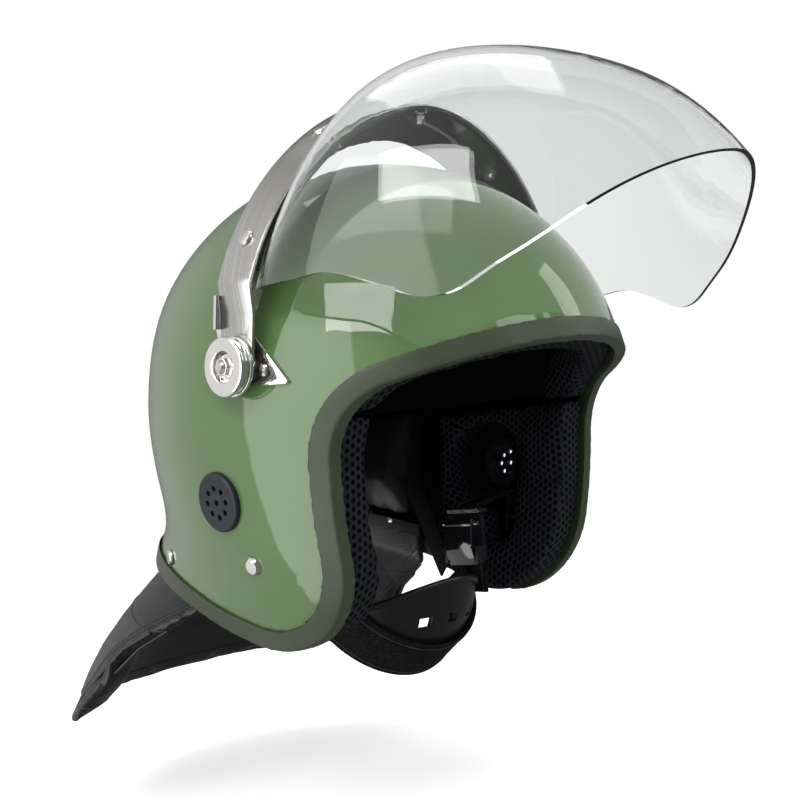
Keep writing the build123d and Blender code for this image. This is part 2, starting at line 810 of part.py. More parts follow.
with BuildPart() as visor:
    add(visor_form(0))
    add(visor_form(visor_thickness), mode=Mode.SUBTRACT)
    with BuildSketch(bail_side):
        with BuildLine():
            edge_points = [(d * visor_reach, h * visor_crown) for d, h in visor_edge_shares]
            flange_rear = seal_rear_margin - bail_width / 2
            Spline(edge_points)
            Polyline(
                edge_points[-1],
                (edge_points[-1][0], 2 * visor_crown),
                (flange_rear, 2 * visor_crown),
                (flange_rear, edge_points[0][1]),
                edge_points[0],
            )
        make_face()
    extrude(amount=half_span, both=True, mode=Mode.INTERSECT)
    for turn_share in screw_turn_shares:
        hole_plane = screw_plane(*arch_point(turn_share * pi / 2, 0))
        add(bore(hole_plane, frame_screw_radius + bolt_fit_gap, frame_hole_depth), mode=Mode.SUBTRACT)
visor.part.label = "visor"
export_step(visor.part, "parts/visor.step")

# Screws and nuts that clamp frame, seal and visor together
with BuildPart() as visor_screws:
    for turn_share in screw_turn_shares:
        x, h, normal_x, normal_h = arch_point(turn_share * pi / 2, 0)
        plane = screw_plane(x, h, normal_x, normal_h)
        with BuildSketch(plane.offset(screw_seat_gap)):
            Circle(frame_screw_head_radius)
        extrude(amount=frame_screw_head_height, taper=frame_screw_head_taper)
        with BuildSketch(plane.offset(screw_seat_gap)):
            Circle(frame_screw_radius)
        extrude(amount=-frame_screw_length)
visor_screws.part.label = "visor_screws"
export_step(visor_screws.part, "parts/visor_screws.step")

with BuildPart() as visor_nuts:
    for turn_share in screw_turn_shares:
        x, h, normal_x, normal_h = arch_point(turn_share * pi / 2, 0)
        plane = screw_plane(x, h, normal_x, normal_h)
        with BuildSketch(plane.offset(-flange_drop - visor_thickness - nut_seat_gap)):
            RegularPolygon(frame_nut_radius, 6)
            Circle(frame_screw_radius + bolt_fit_gap, mode=Mode.SUBTRACT)
        extrude(amount=-frame_nut_height)
visor_nuts.part.label = "visor_nuts"
export_step(visor_nuts.part, "parts/visor_nuts.step")

# Chin harness: rivets, front legs, rear legs, cup and band
strap_inset = shell_wall + rivet_spacer + strap_thickness / 2
with BuildPart() as strap_rivets:
    with BuildSketch(rivet_plane.offset(ear_fit_gap)):
        Circle(rivet_head_radius)
    extrude(amount=rivet_head_height, taper=rivet_head_taper)
    with BuildSketch(rivet_plane.offset(ear_fit_gap)):
        Circle(rivet_radius)
    extrude(amount=-rivet_length)
    with BuildSketch(rivet_plane.offset(-shell_wall - clearance)):
        Circle(rivet_head_radius)
    extrude(amount=2 * clearance - rivet_spacer)
    with BuildSketch(rivet_plane.offset(ear_fit_gap - rivet_length)):
        Circle(rivet_head_radius)
    extrude(amount=strap_thickness)
    mirror(about=Plane.YZ)
strap_rivets.part.label = "strap_rivets"
export_step(strap_rivets.part, "parts/strap_rivets.step")

strap_x = chin_radius + strap_layer_drop + 1.5 * strap_thickness
leg_low = rivet_z - strap_width / 2
leg_top = rivet_z + strap_fold_rise
leg_route = [
    (-surface_x(rivet_y, leg_low, strap_inset), leg_low),
    (-surface_x(rivet_y, leg_top, strap_inset), leg_top),
    (-surface_x(rivet_y, leg_top, cheek_pad_inset) - strap_slot_gap, leg_top + strap_slot_gap),
    (-strap_x, chin_center_z + strap_hang_rise),
    (-strap_x, chin_center_z - strap_end_drop),
]
with BuildPart() as chin_strap:
    with BuildSketch(Plane.XZ.offset(-rivet_y)):
        with BuildLine():
            FilletPolyline(*leg_route, radius=strap_fold_radius)
        trace(line_width=strap_thickness)
    extrude(amount=strap_width / 2, both=True)
    add(bore(rivet_plane, rivet_radius + bolt_fit_gap, rivet_length), mode=Mode.SUBTRACT)
write_pair(chin_strap, "chin_strap")

with BuildPart() as chin_cup:
    with Locations((0, chin_center_y, chin_center_z)):
        Sphere(chin_radius - clearance)
        Sphere(chin_radius - clearance - cup_thickness, mode=Mode.SUBTRACT)
    with BuildSketch(Plane.XZ.offset(-chin_center_y)):
        with BuildLine():
            top_edge = ThreePointArc(
                (-cup_half_width, chin_center_z - cup_end_drop),
                (0, chin_center_z + cup_top_rise),
                (cup_half_width, chin_center_z - cup_end_drop),
            )
            ThreePointArc(top_edge @ 0, (0, chin_center_z - cup_depth), top_edge @ 1)
        make_face()
        with Locations((0, chin_center_z - cup_slot_drop)):
            with GridLocations(cup_slot_pitch, 0, 3, 1):
                Rectangle(cup_slot_width, cup_slot_height, mode=Mode.SUBTRACT)
    extrude(amount=chin_radius, mode=Mode.INTERSECT)
chin_cup.part.label = "chin_cup"
export_step(chin_cup.part, "parts/chin_cup.step")

chin_tilt = radians(band_tilt)
band_plane = Plane(
    origin=(0, chin_center_y, chin_center_z),
    x_dir=(1, 0, 0),
    z_dir=(0, -cos(chin_tilt), sin(chin_tilt)),
)
with BuildPart() as chin_band:
    with BuildSketch(band_plane):
        Circle(chin_radius + strap_thickness)
        Circle(chin_radius, mode=Mode.SUBTRACT)
        with Locations((0, -chin_radius + band_end_rise)):
            Rectangle(4 * chin_radius, 2 * chin_radius, mode=Mode.INTERSECT)
    extrude(amount=band_width / 2, both=True)
chin_band.part.label = "chin_band"
export_step(chin_band.part, "parts/chin_band.step")

# Rear legs from the nape pad to the ends of the chin band
rear_inset = nape_pad_inset + rear_leg_layers * strap_thickness
rear_top = Vector(-surface_x(rear_leg_y, rear_leg_z, rear_inset), rear_leg_y, rear_leg_z)
rear_low = Vector(-strap_x - 2 * strap_thickness - strap_layer_drop, rear_leg_end_y, chin_center_z)
rear_run = rear_top - rear_low
with BuildPart() as nape_strap:
    rear_edge_on = rear_run.cross(Vector(0, 0, 1)).cross(rear_run)
    with BuildSketch(Plane(origin=(rear_top + rear_low) / 2, x_dir=rear_run, z_dir=rear_edge_on)):
        Rectangle(rear_run.length, strap_thickness)
    extrude(amount=strap_width / 2, both=True)
write_pair(nape_strap, "nape_strap")

# Cam buckle on the left front leg
buckle_x = strap_x
buckle_pin_x = buckle_x - strap_thickness / 2 - strap_layer_drop - buckle_base - buckle_pin_height
buckle_pin_z = buckle_z + buckle_pin_rise
lever_width = buckle_width - 2 * buckle_cheek - 2 * clearance
buckle_section = Plane.XZ.offset(-rivet_y)
buckle_plane = Plane(origin=(buckle_x, rivet_y, buckle_z), x_dir=(0, 1, 0), z_dir=(-1, 0, 0))
buckle_seat = strap_thickness / 2 + strap_layer_drop
with BuildPart() as buckle_frame:
    with BuildSketch(buckle_plane.offset(buckle_seat)):
        RectangleRounded(buckle_width, buckle_height, buckle_corner)
    extrude(amount=buckle_base)
    with BuildSketch(buckle_plane.offset(buckle_seat + buckle_base)):
        with Locations((0, buckle_pin_rise)):
            with GridLocations(buckle_width - buckle_cheek, 0, 2, 1):
                Rectangle(buckle_cheek, buckle_cheek_length)
    extrude(amount=buckle_pin_height + 2 * buckle_pin_radius)
    with BuildSketch(buckle_section):
        with Locations((buckle_pin_x, buckle_pin_z)):
            Circle(buckle_pin_radius + bolt_fit_gap)
    extrude(amount=buckle_width, both=True, mode=Mode.SUBTRACT)
buckle_frame.part.label = "buckle_frame"
export_step(buckle_frame.part, "parts/buckle_frame.step")

with BuildPart() as buckle_pin:
    with BuildSketch(buckle_section):
        with Locations((buckle_pin_x, buckle_pin_z)):
            Circle(buckle_pin_radius)
    extrude(amount=buckle_width / 2, both=True)
buckle_pin.part.label = "buckle_pin"
export_step(buckle_pin.part, "parts/buckle_pin.step")

lever_eye = buckle_pin_radius + lever_thickness
with BuildPart() as buckle_lever:
    with BuildSketch(buckle_section):
        with BuildLine():
            ThreePointArc(
                (buckle_pin_x - buckle_pin_radius, buckle_pin_z),
                (buckle_pin_x - buckle_pin_radius - lever_bow, buckle_pin_z - lever_length / 2),
                (buckle_pin_x, buckle_pin_z - lever_length),
            )
        trace(line_width=lever_thickness)
        with Locations((buckle_pin_x, buckle_pin_z)):
            Circle(lever_eye)
            Circle(buckle_pin_radius + bolt_fit_gap, mode=Mode.SUBTRACT)
    extrude(amount=lever_width / 2, both=True)
buckle_lever.part.label = "buckle_lever"
export_step(buckle_lever.part, "parts/buckle_lever.step")

with BuildPart() as strap_ring:
    with BuildSketch(Plane.XY.offset(ring_height)):
        with Locations((buckle_x, rivet_y)):
            Rectangle(ring_slot + 2 * ring_wire, strap_width + 2 * clearance + 2 * ring_wire)
            Rectangle(ring_slot, strap_width + 2 * clearance, mode=Mode.SUBTRACT)
    extrude(amount=ring_wire)
strap_ring.part.label = "strap_ring"
export_step(strap_ring.part, "parts/strap_ring.step")


def crescent_face(height, slope, half_turn, thickness, radius_at):
    """Thin bow round the nape on a plane that rises to the rear by slope."""
    stretch = sqrt(1 + slope ** 2)
    outer = []
    inner = []
    for step in range(-guard_turn_count, guard_turn_count + 1):
        turn = pi / 2 + half_turn * step / guard_turn_count
        radius, center = radius_at(turn)
        for reach, row in ((radius + thickness / 2, outer), (radius - thickness / 2, inner)):
            row.append((reach * cos(turn), (center + reach * sin(turn)) * stretch))
    plane = Plane(origin=(0, 0, height), x_dir=(1, 0, 0), z_dir=(0, -slope, 1))
    with BuildSketch(plane) as face:
        with BuildLine():
            Spline(outer)
            Spline(inner)
            Line(outer[0], inner[0])
            Line(outer[-1], inner[-1])
        make_face()
    return face.sketch


def collar_radius(rise, inset):
    """Function that gives the collar's radius and middle at one turn, for one height above the rim."""
    def radius_at(turn):
        rim = oval_radius(turn, collar_half_width, collar_rear_reach, collar_front_reach)
        level = rim_height_at_center + rim_slope_share * (collar_center + rim * sin(turn)) + rise
        return form_radius(turn, level, inset)
    return radius_at


def apron_radius(share, inset):
    """Function that gives the neck guard's radius and middle at one turn, for one share from rim to hem."""
    def radius_at(turn):
        spread = guard_top_turn + (guard_hem_turn - guard_top_turn) * share
        rim_turn = pi / 2 + (turn - pi / 2) * guard_top_turn / spread
        hem_turn = pi / 2 + (turn - pi / 2) * guard_hem_turn / spread
        reaches = (collar_half_width, collar_rear_reach, collar_front_reach)
        rim = oval_radius(rim_turn, *(reach - inset for reach in reaches))
        hem = oval_radius(hem_turn, guard_hem_half_width, guard_hem_rear_reach, guard_hem_rear_reach)
        return rim + (hem - rim) * share, collar_center
    return radius_at


# Padded neck guard below the rear rim
guard_inset = pad_inset + guard_top_thickness / 2
guard_top_turn = guard_top_turn_share * pi
guard_hem_turn = guard_hem_turn_share * pi
with BuildPart() as neck_guard:
    add(crescent_face(
        rim_height_at_center + guard_top_rise,
        rim_slope_share,
        guard_top_turn,
        guard_top_thickness,
        collar_radius(guard_top_rise, guard_inset),
    ))
    add(crescent_face(
        rim_height_at_center + guard_top_rise / 2,
        rim_slope_share,
        guard_top_turn,
        guard_top_thickness,
        collar_radius(guard_top_rise / 2, guard_inset),
    ))
    for share, thickness_share in guard_section_shares:
        knee = rim_height_at_center - guard_knee_drop
        add(crescent_face(
            knee + (guard_hem_height - knee) * share,
            rim_slope_share * (1 - share),
            guard_top_turn + (guard_hem_turn - guard_top_turn) * share,
            guard_body_thickness * thickness_share,
            apron_radius(share, guard_inset),
        ))
    loft(ruled=True)
    for neck_plane in neck_screw_planes:
        for plane in (neck_plane, mirrored(neck_plane)):
            add(bore(plane, neck_hole_radius, neck_screw_length + overrun), mode=Mode.SUBTRACT)
neck_guard.part.label = "neck_guard"
export_step(neck_guard.part, "parts/neck_guard.step")

batten_inset = pad_inset + guard_top_thickness + clearance + batten_thickness / 2
with BuildPart() as neck_guard_batten:
    for rise in (neck_screw_rise - batten_height / 2, neck_screw_rise, neck_screw_rise + batten_height / 2):
        add(crescent_face(
            rim_height_at_center + rise,
            rim_slope_share,
            guard_top_turn,
            batten_thickness,
            collar_radius(rise, batten_inset),
        ))
    loft(ruled=True)
    for neck_plane in neck_screw_planes:
        for plane in (neck_plane, mirrored(neck_plane)):
            add(bore(plane, neck_hole_radius, neck_screw_length + overrun), mode=Mode.SUBTRACT)
neck_guard_batten.part.label = "neck_guard_batten"
export_step(neck_guard_batten.part, "parts/neck_guard_batten.step")

with BuildPart() as neck_guard_screws:
    for neck_plane in neck_screw_planes:
        for plane in (neck_plane, mirrored(neck_plane)):
            with BuildSketch(plane.offset(neck_screw_seat)):
                Circle(neck_screw_head_radius)
            extrude(amount=neck_screw_head_height, taper=frame_screw_head_taper)
            with BuildSketch(plane.offset(neck_screw_seat)):
                Circle(neck_screw_radius)
            extrude(amount=-neck_screw_length)
neck_guard_screws.part.label = "neck_guard_screws"
export_step(neck_guard_screws.part, "parts/neck_guard_screws.step")
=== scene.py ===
# %% [markdown]
# Riot helmet with a raised visor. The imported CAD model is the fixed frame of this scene: every rigid
# piece is already there at its real size, in metres, with -Y to the front and +Z up. This script gives
# each of those pieces its finish and models the soft goods, seams and fine edges that CAD leaves plain.

# %% Load the frame
from math import cos, pi, radians, sin

import bpy
from mathutils import Matrix, Vector


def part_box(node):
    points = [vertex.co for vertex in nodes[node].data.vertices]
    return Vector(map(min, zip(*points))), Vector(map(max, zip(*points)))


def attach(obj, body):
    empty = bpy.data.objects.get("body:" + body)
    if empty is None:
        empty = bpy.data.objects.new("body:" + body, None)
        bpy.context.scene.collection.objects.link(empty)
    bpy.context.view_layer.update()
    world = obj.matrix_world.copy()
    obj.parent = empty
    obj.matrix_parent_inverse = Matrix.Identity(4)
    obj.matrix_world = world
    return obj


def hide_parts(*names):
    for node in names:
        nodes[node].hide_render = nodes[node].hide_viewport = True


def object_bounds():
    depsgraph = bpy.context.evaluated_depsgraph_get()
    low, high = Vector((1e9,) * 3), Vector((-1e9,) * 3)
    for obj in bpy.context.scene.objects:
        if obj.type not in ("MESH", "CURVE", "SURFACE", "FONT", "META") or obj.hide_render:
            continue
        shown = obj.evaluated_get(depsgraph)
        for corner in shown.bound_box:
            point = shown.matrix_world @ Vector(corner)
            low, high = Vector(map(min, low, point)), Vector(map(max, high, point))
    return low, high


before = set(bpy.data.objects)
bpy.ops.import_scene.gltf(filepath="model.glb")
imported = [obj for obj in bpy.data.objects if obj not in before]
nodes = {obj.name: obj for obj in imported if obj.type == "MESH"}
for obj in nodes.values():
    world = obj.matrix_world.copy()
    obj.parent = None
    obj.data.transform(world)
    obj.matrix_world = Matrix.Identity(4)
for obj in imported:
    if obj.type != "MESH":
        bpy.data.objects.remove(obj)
cad_low, cad_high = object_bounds()
scene = bpy.context.scene
millimetre = 0.001
print("CAD nodes:", len(nodes))

# %% [markdown]
# The camera comes first. The photograph looks at the helmet from its front right, almost level, through
# a short telephoto lens, so the two cheek rims keep nearly the same size. Three unit vectors say where
# the camera's right, up and back point, and they are the columns of its rotation.

# %% Camera
focal_length = 50
sensor_width = 36
camera_place = Vector((-0.45386, -0.43250, 0.0990))
camera_right = Vector((0.67544, -0.73064, -0.09969))
camera_up = Vector((0.04095, -0.09781, 0.99436))
camera_back = Vector((-0.73627, -0.67572, -0.03615))
camera_data = bpy.data.cameras.new("photo_camera")
camera_data.lens = focal_length
camera_data.sensor_width = sensor_width
camera = bpy.data.objects.new("photo_camera", camera_data)
turn = Matrix((camera_right, camera_up, camera_back)).transposed()
camera.matrix_world = Matrix.Translation(camera_place) @ turn.to_4x4()
scene.collection.objects.link(camera)
scene.camera = camera

# %% [markdown]
# Shader trees are built with a few small helpers. A Math node takes sockets or plain numbers, and a Map
# Range node turns one range of a value into another, in a straight line or with a soft step.

# %% Helpers for shader trees
def math_node(tree, operation, *terms, clamp=False):
    """A Math node's output, fed by sockets or by numbers."""
    node = tree.nodes.new("ShaderNodeMath")
    node.operation = operation
    node.use_clamp = clamp
    for number, term in enumerate(terms):
        if isinstance(term, (int, float)):
            node.inputs[number].default_value = term
        else:
            tree.links.new(term, node.inputs[number])
    return node.outputs[0]


def map_range(tree, value, source, target=(0, 1), interpolation="LINEAR"):
    """A Map Range node's output, from one pair of ends to another."""
    node = tree.nodes.new("ShaderNodeMapRange")
    node.interpolation_type = interpolation
    for socket, end in zip(("From Min", "From Max", "To Min", "To Max"), (*source, *target)):
        node.inputs[socket].default_value = end
    tree.links.new(value, node.inputs["Value"])
    return node.outputs["Result"]


def blend(tree, factor, first, second):
    """A Mix node's output: the first value where the factor is 0, the second where it is 1."""
    node = tree.nodes.new("ShaderNodeMix")
    for socket, value in (("Factor", factor), ("A", first), ("B", second)):
        tree.links.new(value, node.inputs[socket])
    return node.outputs["Result"]


def parts_of(tree, vector):
    """The X, Y and Z outputs of a vector."""
    node = tree.nodes.new("ShaderNodeSeparateXYZ")
    tree.links.new(vector, node.inputs["Vector"])
    return node.outputs


# %% [markdown]
# The studio is a pale world that the camera and clear sheet see as white, while plain surfaces get only
# part of it as fill. Mirrors see a white wall on the helmet's right and rear and a dimmer room in front,
# which gives chrome its dark edges, and a few bright cards that draw window shapes on the lacquer. A
# card is a range of directions: azimuths in degrees from the helmet's left, turned half round, between
# two heights. The lamps stay at a plain level, so a colour renders about as it is written.

# %% World
scene.view_settings.view_transform = "Standard"
fill_level = 0.5
white_level = 1.0
dark_side_level = 0.18
wall_level = 0.85
wall_direction = (-0.74, 0.66, 0.1)
wall_span = (0.1, 0.85)
card_side_blur = radians(1)
card_end_blur = 0.03
mirror_cards = (
    {"azimuths": (-36, 12), "heights": (-0.62, 0.7), "gain": 2.6},
    {"azimuths": (86, 112), "heights": (0.3, 0.75), "gain": 3.2},
    {"azimuths": (118, 124), "heights": (0.3, 0.75), "gain": 2.4},
)
world = bpy.data.worlds.new("studio")
scene.world = world
world.use_nodes = True
sky = world.node_tree
background = sky.nodes["Background"]
background.inputs["Color"].default_value = (1, 1, 1, 1)
ray = sky.nodes.new("ShaderNodeLightPath").outputs
direction = sky.nodes.new("ShaderNodeTexCoord").outputs["Generated"]


def vector_node(operation, vector, setting, value):
    """A Vector Math node in the world's tree, with one of its inputs set."""
    node = sky.nodes.new("ShaderNodeVectorMath")
    node.operation = operation
    sky.links.new(vector, node.inputs[0])
    node.inputs[setting].default_value = value
    return node.outputs


def band(value, low, high, soft):
    """One between low and high, nought elsewhere, with a soft step at either end."""
    rise = map_range(sky, value, (low - soft, low + soft), interpolation="SMOOTHSTEP")
    fall = map_range(sky, value, (high + soft, high - soft), interpolation="SMOOTHSTEP")
    return math_node(sky, "MULTIPLY", rise, fall)


seen_white = math_node(sky, "MAXIMUM", ray["Is Camera Ray"], ray["Is Glossy Ray"])
seen_white = math_node(sky, "MAXIMUM", seen_white, ray["Is Transmission Ray"])
plain_level = map_range(sky, seen_white, (0, 1), (fill_level, white_level))
towards_wall = vector_node("DOT_PRODUCT", direction, 1, wall_direction)["Value"]
mirrored = map_range(sky, towards_wall, wall_span, (dark_side_level, wall_level), "SMOOTHSTEP")
away = parts_of(sky, vector_node("SCALE", direction, "Scale", -1)[0])
azimuth = math_node(sky, "ARCTAN2", away["Y"], away["X"])
for card in mirror_cards:
    first, last = card["azimuths"]
    bottom, top = card["heights"]
    sides = band(azimuth, radians(first), radians(last), card_side_blur)
    ends = band(away["Z"], -top, -bottom, card_end_blur)
    shape = math_node(sky, "MULTIPLY", sides, ends)
    mirrored = math_node(sky, "MULTIPLY_ADD", shape, card["gain"], mirrored)
mirrored_only = math_node(sky, "SUBTRACT", ray["Is Glossy Ray"], ray["Is Transmission Ray"], clamp=True)
sky.links.new(blend(sky, mirrored_only, plain_level, mirrored), background.inputs["Strength"])

# %% [markdown]
# Five rectangular lamps light the helmet. The two tall ones in front would draw hard squares on the
# lacquer, so mirrors don't see them.

# %% Lamps
helmet_middle = Vector((0, 0, 0.12))


def softbox(name, place, width, height, power, mirrored=True):
    """A rectangular lamp that faces the helmet."""
    data = bpy.data.lights.new(name, "AREA")
    data.shape = "RECTANGLE"
    data.size = width
    data.size_y = height
    data.energy = power
    lamp = bpy.data.objects.new(name, data)
    lamp.location = place
    lamp.rotation_mode = "QUATERNION"
    lamp.rotation_quaternion = (helmet_middle - lamp.location).to_track_quat("-Z", "Y")
    lamp.visible_glossy = mirrored
    scene.collection.objects.link(lamp)


softbox("key_softbox", (-1.15, -0.35, 1.05), 0.7, 0.5, 9)
softbox("window_left", (-0.95, -1.05, 0.45), 0.16, 0.55, 3, mirrored=False)
softbox("window_right", (-0.62, -1.30, 0.45), 0.16, 0.55, 3, mirrored=False)
softbox("top_softbox", (0.1, 0.1, 1.4), 0.9, 0.9, 5)
softbox("rim_softbox", (0.9, -0.8, 0.6), 0.3, 0.8, 2.5)

# %% [markdown]
# The floor is a pale sheet a little below the helmet. A small glow that only the camera sees lifts it to
# the background's white, and it keeps the soft shadow.

# %% Floor
floor_size = 6
floor_drop = 0.06
floor_lift = 0.5


def clear_selection():
    """Operators act on all that is selected, so each piece starts from nothing."""
    bpy.ops.object.select_all(action="DESELECT")


def choose(*pieces):
    """Select these objects and make the first one active."""
    clear_selection()
    for piece in pieces:
        piece.select_set(True)
    bpy.context.view_layer.objects.active = pieces[0]


clear_selection()
bpy.ops.mesh.primitive_plane_add(size=floor_size, location=(0, 0, cad_low.z - floor_drop))
floor = bpy.context.object
floor.name = "floor"
bpy.ops.object.mode_set(mode="EDIT")
bpy.ops.mesh.select_all(action="SELECT")
bpy.ops.mesh.subdivide(number_cuts=2)
bpy.ops.object.mode_set(mode="OBJECT")
floor_paint = bpy.data.materials.new("pale_floor")
floor_paint.use_nodes = True
floor_tree = floor_paint.node_tree
floor_shader = floor_tree.nodes["Principled BSDF"]
floor_shader.inputs["Base Color"].default_value = (0.97, 0.97, 0.97, 1)
floor_shader.inputs["Roughness"].default_value = 0.9
floor_shader.inputs["Emission Color"].default_value = (1, 1, 1, 1)
camera_ray = floor_tree.nodes.new("ShaderNodeLightPath").outputs["Is Camera Ray"]
floor_glow = math_node(floor_tree, "MULTIPLY", camera_ray, floor_lift)
floor_tree.links.new(floor_glow, floor_shader.inputs["Emission Strength"])
floor.data.materials.append(floor_paint)
floor.visible_glossy = False

# %% [markdown]
# Every finish starts as one Principled shader whose constant numbers sit on its own sockets. The detail
# that the real surface shows, such as grain, weave, brushing or fine waviness, is added as nodes that
# read Object coordinates, so it stays on the piece when the piece moves.

# %% Helpers for the finishes
made_finishes = {}
side_facing = 0.6
top_facing = 0.75


def finish(name, color, roughness, metallic=0.0, coat=0.0, specular=0.5, coat_roughness=0.03):
    """A material with one Principled shader, and its name kept for later cells."""
    material = bpy.data.materials.new(name)
    material.use_nodes = True
    shader = material.node_tree.nodes["Principled BSDF"]
    shader.inputs["Base Color"].default_value = (*color, 1)
    shader.inputs["Roughness"].default_value = roughness
    shader.inputs["Metallic"].default_value = metallic
    shader.inputs["Coat Weight"].default_value = coat
    shader.inputs["Coat Roughness"].default_value = coat_roughness
    shader.inputs["Specular IOR Level"].default_value = specular
    made_finishes[name] = material
    return material


def shader_of(material):
    """The material's Principled shader."""
    return material.node_tree.nodes["Principled BSDF"]


def object_place(material, scale=(1, 1, 1), rotation=(0, 0, 0)):
    """A Mapping node on Object coordinates, for the textures of one material."""
    tree = material.node_tree
    coordinates = tree.nodes.new("ShaderNodeTexCoord")
    mapping = tree.nodes.new("ShaderNodeMapping")
    mapping.inputs["Scale"].default_value = scale
    mapping.inputs["Rotation"].default_value = rotation
    tree.links.new(coordinates.outputs["Object"], mapping.inputs["Vector"])
    return mapping


def noise(material, scale, detail=3.0, stretch=(1, 1, 1), rotation=(0, 0, 0)):
    """A noise texture's height output."""
    tree = material.node_tree
    texture = tree.nodes.new("ShaderNodeTexNoise")
    texture.inputs["Scale"].default_value = scale
    texture.inputs["Detail"].default_value = detail
    tree.links.new(object_place(material, stretch, rotation).outputs["Vector"], texture.inputs["Vector"])
    return texture.outputs["Fac"]


def cells(material, scale, randomness):
    """A Voronoi texture's distance output."""
    tree = material.node_tree
    texture = tree.nodes.new("ShaderNodeTexVoronoi")
    texture.inputs["Scale"].default_value = scale
    texture.inputs["Randomness"].default_value = randomness
    tree.links.new(object_place(material).outputs["Vector"], texture.inputs["Vector"])
    return texture.outputs["Distance"]


def honeycomb(material, pitch):
    """Round holes in staggered rows: three cosines 60 degrees apart, laid along the piece's own side."""
    tree = material.node_tree
    coordinates = tree.nodes.new("ShaderNodeTexCoord")
    place = parts_of(tree, coordinates.outputs["Object"])
    facing = parts_of(tree, coordinates.outputs["Normal"])
    sideways = math_node(tree, "GREATER_THAN", math_node(tree, "ABSOLUTE", facing["X"]), side_facing)
    upright = math_node(tree, "LESS_THAN", math_node(tree, "ABSOLUTE", facing["Z"]), top_facing)
    across = blend(tree, sideways, place["X"], place["Y"])
    along = blend(tree, upright, place["Y"], place["Z"])
    wave = 2 * pi / (pitch * cos(radians(30)))
    total = 0
    for turn in (0, 60, 120):
        part_across = math_node(tree, "MULTIPLY", across, wave * cos(radians(turn)))
        part_along = math_node(tree, "MULTIPLY", along, wave * sin(radians(turn)))
        crest = math_node(tree, "COSINE", math_node(tree, "ADD", part_across, part_along))
        total = math_node(tree, "ADD", total, crest)
    return total


def ramp(material, height, low, high, low_color, high_color):
    """Colours a height: below low it is low_color, above high it is high_color."""
    tree = material.node_tree
    colors = tree.nodes.new("ShaderNodeValToRGB")
    for stop, position, color in zip(colors.color_ramp.elements, (low, high), (low_color, high_color)):
        stop.position = position
        stop.color = (*color, 1)
    tree.links.new(height, colors.inputs["Fac"])
    return colors.outputs["Color"]


def relief(material, height, strength, depth, under=None):
    """A Bump node, chained on another one where under is given."""
    tree = material.node_tree
    bump = tree.nodes.new("ShaderNodeBump")
    bump.inputs["Strength"].default_value = strength
    bump.inputs["Distance"].default_value = depth
    tree.links.new(height, bump.inputs["Height"])
    if under is not None:
        tree.links.new(under, bump.inputs["Normal"])
    tree.links.new(bump.outputs["Normal"], shader_of(material).inputs["Normal"])
    return bump.outputs["Normal"]


def color_from(material, color):
    """Links a colour to the shader."""
    material.node_tree.links.new(color, shader_of(material).inputs["Base Color"])


def roughness_from(material, height, low, high):
    """Links a height to the shader's roughness, from low to high."""
    tree = material.node_tree
    tree.links.new(map_range(tree, height, (0, 1), (low, high)), shader_of(material).inputs["Roughness"])


# %% [markdown]
# The shell is sprayed and lacquered glass-fibre or ABS: a grey green under a clear, glossy coat. Real
# lacquer is never quite flat, so a very weak, wide waviness bends its reflections.

# %% Painted shell
shell_paint = finish("shell_paint", (0.075, 0.15, 0.045), 0.5, coat=1.0, specular=0.2, coat_roughness=0.02)
paint_clouds = noise(shell_paint, 14)
color_from(shell_paint, ramp(shell_paint, paint_clouds, 0.3, 0.7, (0.072, 0.144, 0.042), (0.08, 0.156, 0.048)))
relief(shell_paint, noise(shell_paint, 9, 1.0), 0.06, 0.002)

# %% [markdown]
# Metals: the pivot hardware is chromed, the screws are zinc plated and the frame strap is brushed along
# its length. Brushing is noise that is squeezed across the strap and drawn out along it.

# %% Metals
chrome = finish("chrome_plate", (0.78, 0.77, 0.75), 0.1, metallic=1.0)
roughness_from(chrome, noise(chrome, 60), 0.06, 0.16)
zinc = finish("zinc_steel", (0.62, 0.61, 0.58), 0.28, metallic=1.0)
color_from(zinc, ramp(zinc, noise(zinc, 220), 0.3, 0.7, (0.5, 0.49, 0.46), (0.68, 0.67, 0.64)))
roughness_from(zinc, noise(zinc, 400), 0.2, 0.36)
bail_lean = radians(10.2)
brushed = finish("brushed_strap", (0.7, 0.69, 0.67), 0.25, metallic=1.0)
hairlines = noise(brushed, 8, 6.0, (1.5, 700, 1.5), (-bail_lean, 0, 0))
color_from(brushed, ramp(brushed, hairlines, 0.3, 0.7, (0.36, 0.355, 0.34), (0.56, 0.55, 0.53)))
roughness_from(brushed, hairlines, 0.16, 0.3)
relief(brushed, hairlines, 0.12, 0.0002)

# %% [markdown]
# Rubber and moulded plastic: the edge trim is olive rubber with a soft sheen, the frame seal is dull
# black rubber, and the ear caps, cup and buckle are black plastic with a fine spark-eroded grain.

# %% Rubber and plastic
trim_rubber = finish("trim_rubber", (0.034, 0.045, 0.023), 0.42, specular=0.35)
trim_bloom = noise(trim_rubber, 40)
color_from(trim_rubber, ramp(trim_rubber, trim_bloom, 0.3, 0.7, (0.03, 0.04, 0.02), (0.039, 0.05, 0.027)))
relief(trim_rubber, noise(trim_rubber, 700), 0.08, 0.0003)
seal_rubber = finish("seal_rubber", (0.008, 0.008, 0.008), 0.5, specular=0.25)
relief(seal_rubber, noise(seal_rubber, 500), 0.15, 0.0003)
black_plastic = finish("black_plastic", (0.009, 0.011, 0.015), 0.38, specular=0.3)
relief(black_plastic, noise(black_plastic, 1500), 0.12, 0.0002)
gloss_black = finish("gloss_black", (0.008, 0.008, 0.009), 0.12, coat=0.6)
relief(gloss_black, noise(gloss_black, 60), 0.05, 0.0005)
cup_plastic = finish("cup_plastic", (0.006, 0.006, 0.007), 0.33, specular=0.35)
relief(cup_plastic, noise(cup_plastic, 1300), 0.14, 0.0002)
